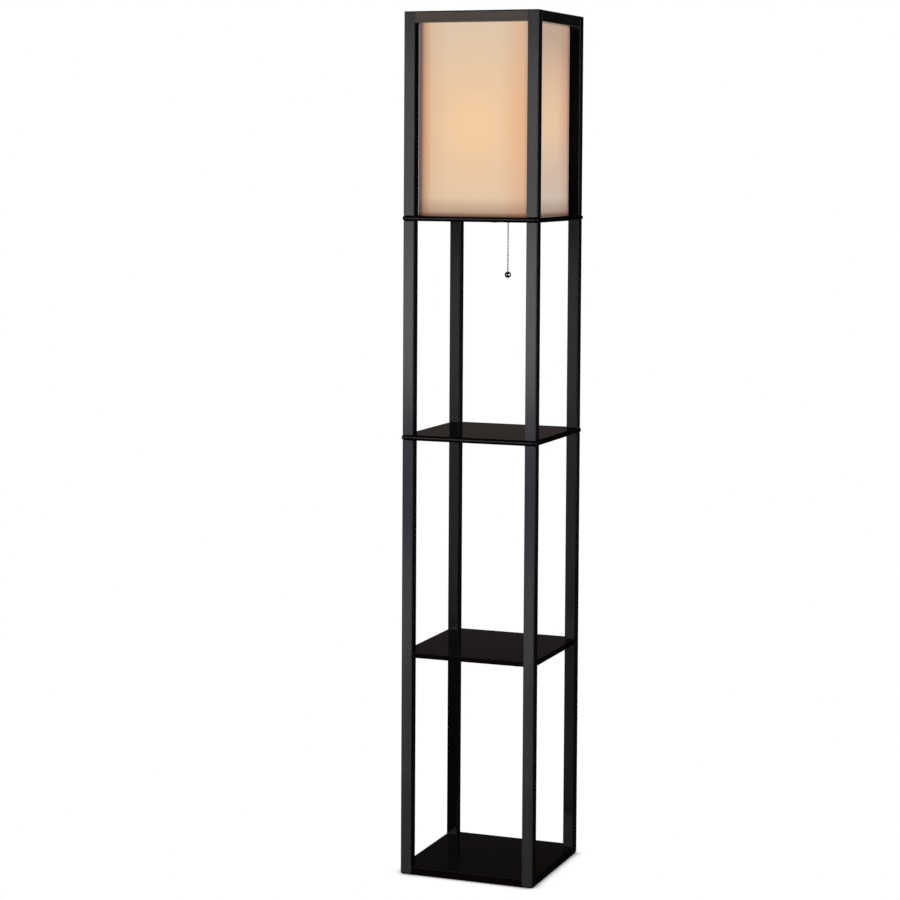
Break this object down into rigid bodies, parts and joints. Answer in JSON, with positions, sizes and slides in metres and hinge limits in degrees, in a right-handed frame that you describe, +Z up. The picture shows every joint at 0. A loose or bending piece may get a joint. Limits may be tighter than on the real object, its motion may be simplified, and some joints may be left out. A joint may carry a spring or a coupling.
{
  "type": "floor lamp",
  "caption": "Square shelf floor lamp: slim dark wooden posts carry open shelves under a translucent square shade, with a beaded pull chain to its switch.",
  "frame": {"origin": "on the floor under the middle of the square base", "axes": "+Z up along the posts; the front faces -Y; +X to the right, the side of the pull chain"},
  "size_m": [0.265, 0.265, 1.6],
  "materials": {
    "post_wood": "satin charcoal stain",
    "board_wood": "satin espresso stain",
    "shade_cloth": "matt woven, laminated",
    "shade_stick": "bare",
    "flange_metal": "black powder coat",
    "screw_steel": "zinc plated",
    "dowel_wood": "bare",
    "foot_felt": "felt",
    "holder_brass": "satin",
    "contact_brass": "plain",
    "pin_steel": "plain",
    "block_moulding": "dark phenolic moulding",
    "liner_board": "varnished",
    "bulb_frost": "frosted",
    "bulb_cap_metal": "rolled",
    "bulb_black": "black glass insulation",
    "bulb_tip": "solder",
    "chain_metal": "dark nickel"
  },
  "bodies": {
    "stand": {"arm_pin": "pin_steel", "arm_return_spring": "pin_steel", "back_left_lamp_post": "post_wood", "back_left_lower_post": "post_wood", "back_left_middle_post": "post_wood", "back_left_upper_post": "post_wood", "back_right_lamp_post": "post_wood", "back_right_lower_post": "post_wood", "back_right_middle_post": "post_wood", "back_right_upper_post": "post_wood", "back_top_rail": "post_wood", "base_board": "board_wood", "base_screws": "screw_steel", "bulb_contact": "bulb_tip", "bulb_glass": "bulb_frost", "bulb_insulator": "bulb_black", "bulb_screw_cap": "bulb_cap_metal", "centre_contact": "contact_brass", "chain_bush": "holder_brass", "cord_inlet_bush": "block_moulding", "flange_screws": "flange_metal", "foot_pads": "foot_felt", "front_left_lamp_post": "post_wood", "front_left_lower_post": "post_wood", "front_left_middle_post": "post_wood", "front_left_upper_post": "post_wood", "front_right_lamp_post": "post_wood", "front_right_lower_post": "post_wood", "front_right_middle_post": "post_wood", "front_right_upper_post": "post_wood", "front_top_rail": "post_wood", "lamp_floor": "board_wood", "lampholder_cap": "holder_brass", "lampholder_liner": "liner_board", "lampholder_nipple": "holder_brass", "lampholder_shell": "holder_brass", "lampholder_stem": "holder_brass", "left_top_rail": "post_wood", "lower_shelf": "board_wood", "nipple_locknut": "screw_steel", "nipple_washer": "screw_steel", "post_joint_screws": "screw_steel", "rail_dowels": "dowel_wood", "right_top_rail": "post_wood", "shade_back_panel": "shade_cloth", "shade_cross_sticks": "shade_stick", "shade_flange": "flange_metal", "shade_front_panel": "shade_cloth", "shade_left_panel": "shade_cloth", "shade_right_panel": "shade_cloth", "shade_uprights": "shade_stick", "switch_block": "block_moulding", "thread_shell": "contact_brass", "upper_shelf": "board_wood"},
    "chain_top": {"upper_pull_chain": "chain_metal"},
    "arm": {"pull_arm": "contact_brass"},
    "swivel": {"chain_swivel_bead": "chain_metal"},
    "chain_end": {"lower_pull_chain": "chain_metal", "chain_connector": "chain_metal", "pull_ball": "chain_metal"}
  },
  "joints": [
    {"name": "chain_pull", "type": "slide", "parent": "stand", "child": "chain_top", "axis": [0, 0, -1], "range_m": [0, 0.008], "stiffness_N_per_m": 500, "springref_m": -0.005},
    {"name": "arm_hinge", "type": "hinge", "parent": "stand", "child": "arm", "pos_m": [0.008, 0, 1.29575], "axis": [0, 1, 0], "range_deg": [0, 22]},
    {"name": "chain_sway_sideways", "type": "hinge", "parent": "chain_top", "child": "swivel", "pos_m": [0.028, 0, 1.213], "axis": [0, 1, 0], "range_deg": [-60, 60]},
    {"name": "chain_sway_forward", "type": "hinge", "parent": "swivel", "child": "chain_end", "pos_m": [0.028, 0, 1.213], "axis": [1, 0, 0], "range_deg": [-60, 60]}
  ],
  "couplings": [
    {"joint": "arm_hinge", "follows": "chain_pull", "rad_per_m": 47.99}
  ]
}
